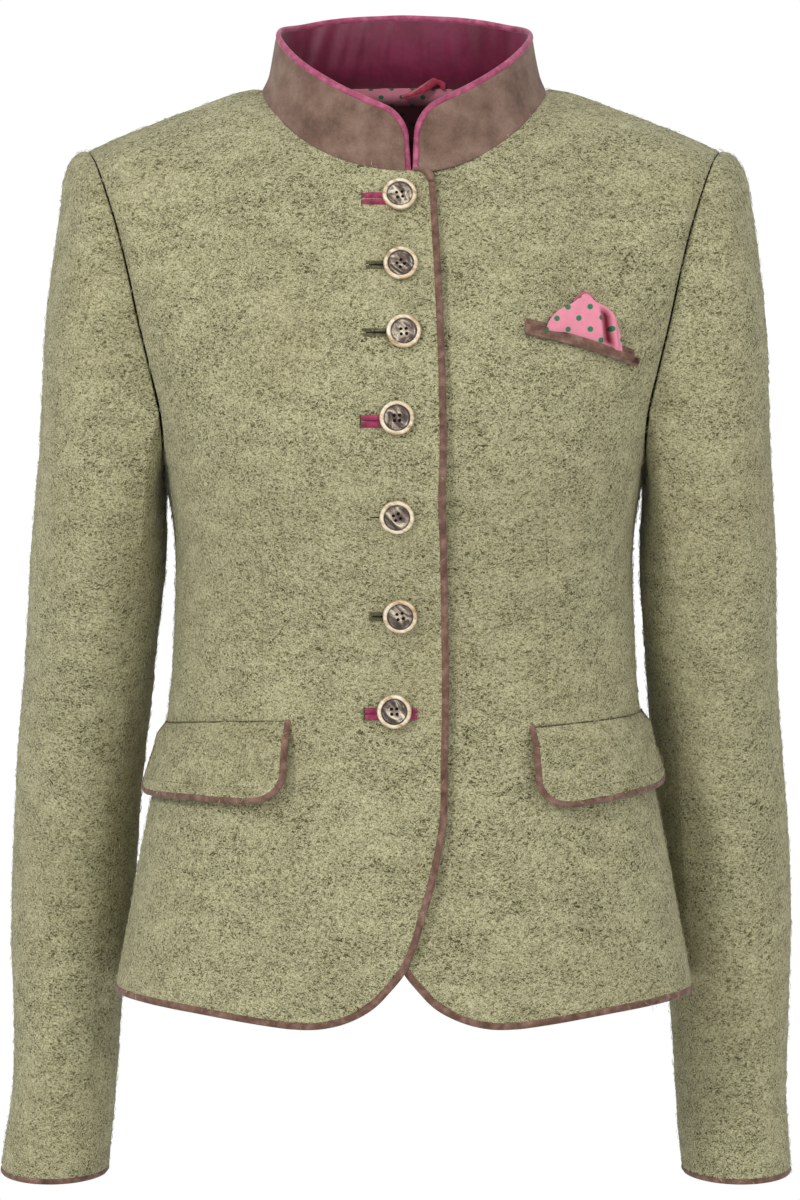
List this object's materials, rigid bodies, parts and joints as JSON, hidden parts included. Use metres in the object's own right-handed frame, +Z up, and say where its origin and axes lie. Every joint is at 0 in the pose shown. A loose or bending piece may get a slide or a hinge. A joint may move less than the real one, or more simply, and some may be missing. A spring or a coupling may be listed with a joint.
{
  "type": "trachten blazer",
  "caption": "Fitted, closed women's jacket in boiled wool with a suede stand collar, flap pockets and piped edges.",
  "frame": {"origin": "midway between the two points where the shoulder seams meet the neckline, where the wearer's shoulders carry the jacket", "axes": "+Z up towards the collar, -Y out of the front, +X towards the wearer's left sleeve"},
  "size_m": [0.5055, 0.2627, 0.7339],
  "materials": {
    "wool": "matt heathered felt",
    "suede": "matt napped",
    "satin": "satin",
    "dotted_cotton": "plain weave with green dots",
    "horn": "polished horn"
  },
  "bodies": {
    "root": {"right_front": "wool", "left_front": "wool", "right_back": "wool", "left_back": "wool", "upper_sleeve_right": "wool", "under_sleeve_right": "wool", "upper_sleeve_left": "wool", "under_sleeve_left": "wool", "flap_right": "wool", "flap_left": "wool", "collar": "suede", "breast_lip_upper": "suede", "breast_lip_lower": "suede", "right_front_piping": "suede", "left_front_piping": "suede", "back_hem_piping": "suede", "cuff_piping_right": "suede", "cuff_piping_left": "suede", "flap_piping_right": "suede", "flap_piping_left": "suede", "collar_facing": "satin", "collar_piping": "satin", "buttonhole_1": "satin", "buttonhole_4": "satin", "buttonhole_7": "satin", "hanger_loop": "satin", "neck_lining": "dotted_cotton", "pocket_square": "dotted_cotton", "button_1": "horn", "button_2": "horn", "button_3": "horn", "button_4": "horn", "button_5": "horn", "button_6": "horn", "button_7": "horn"}
  },
  "joints": []
}
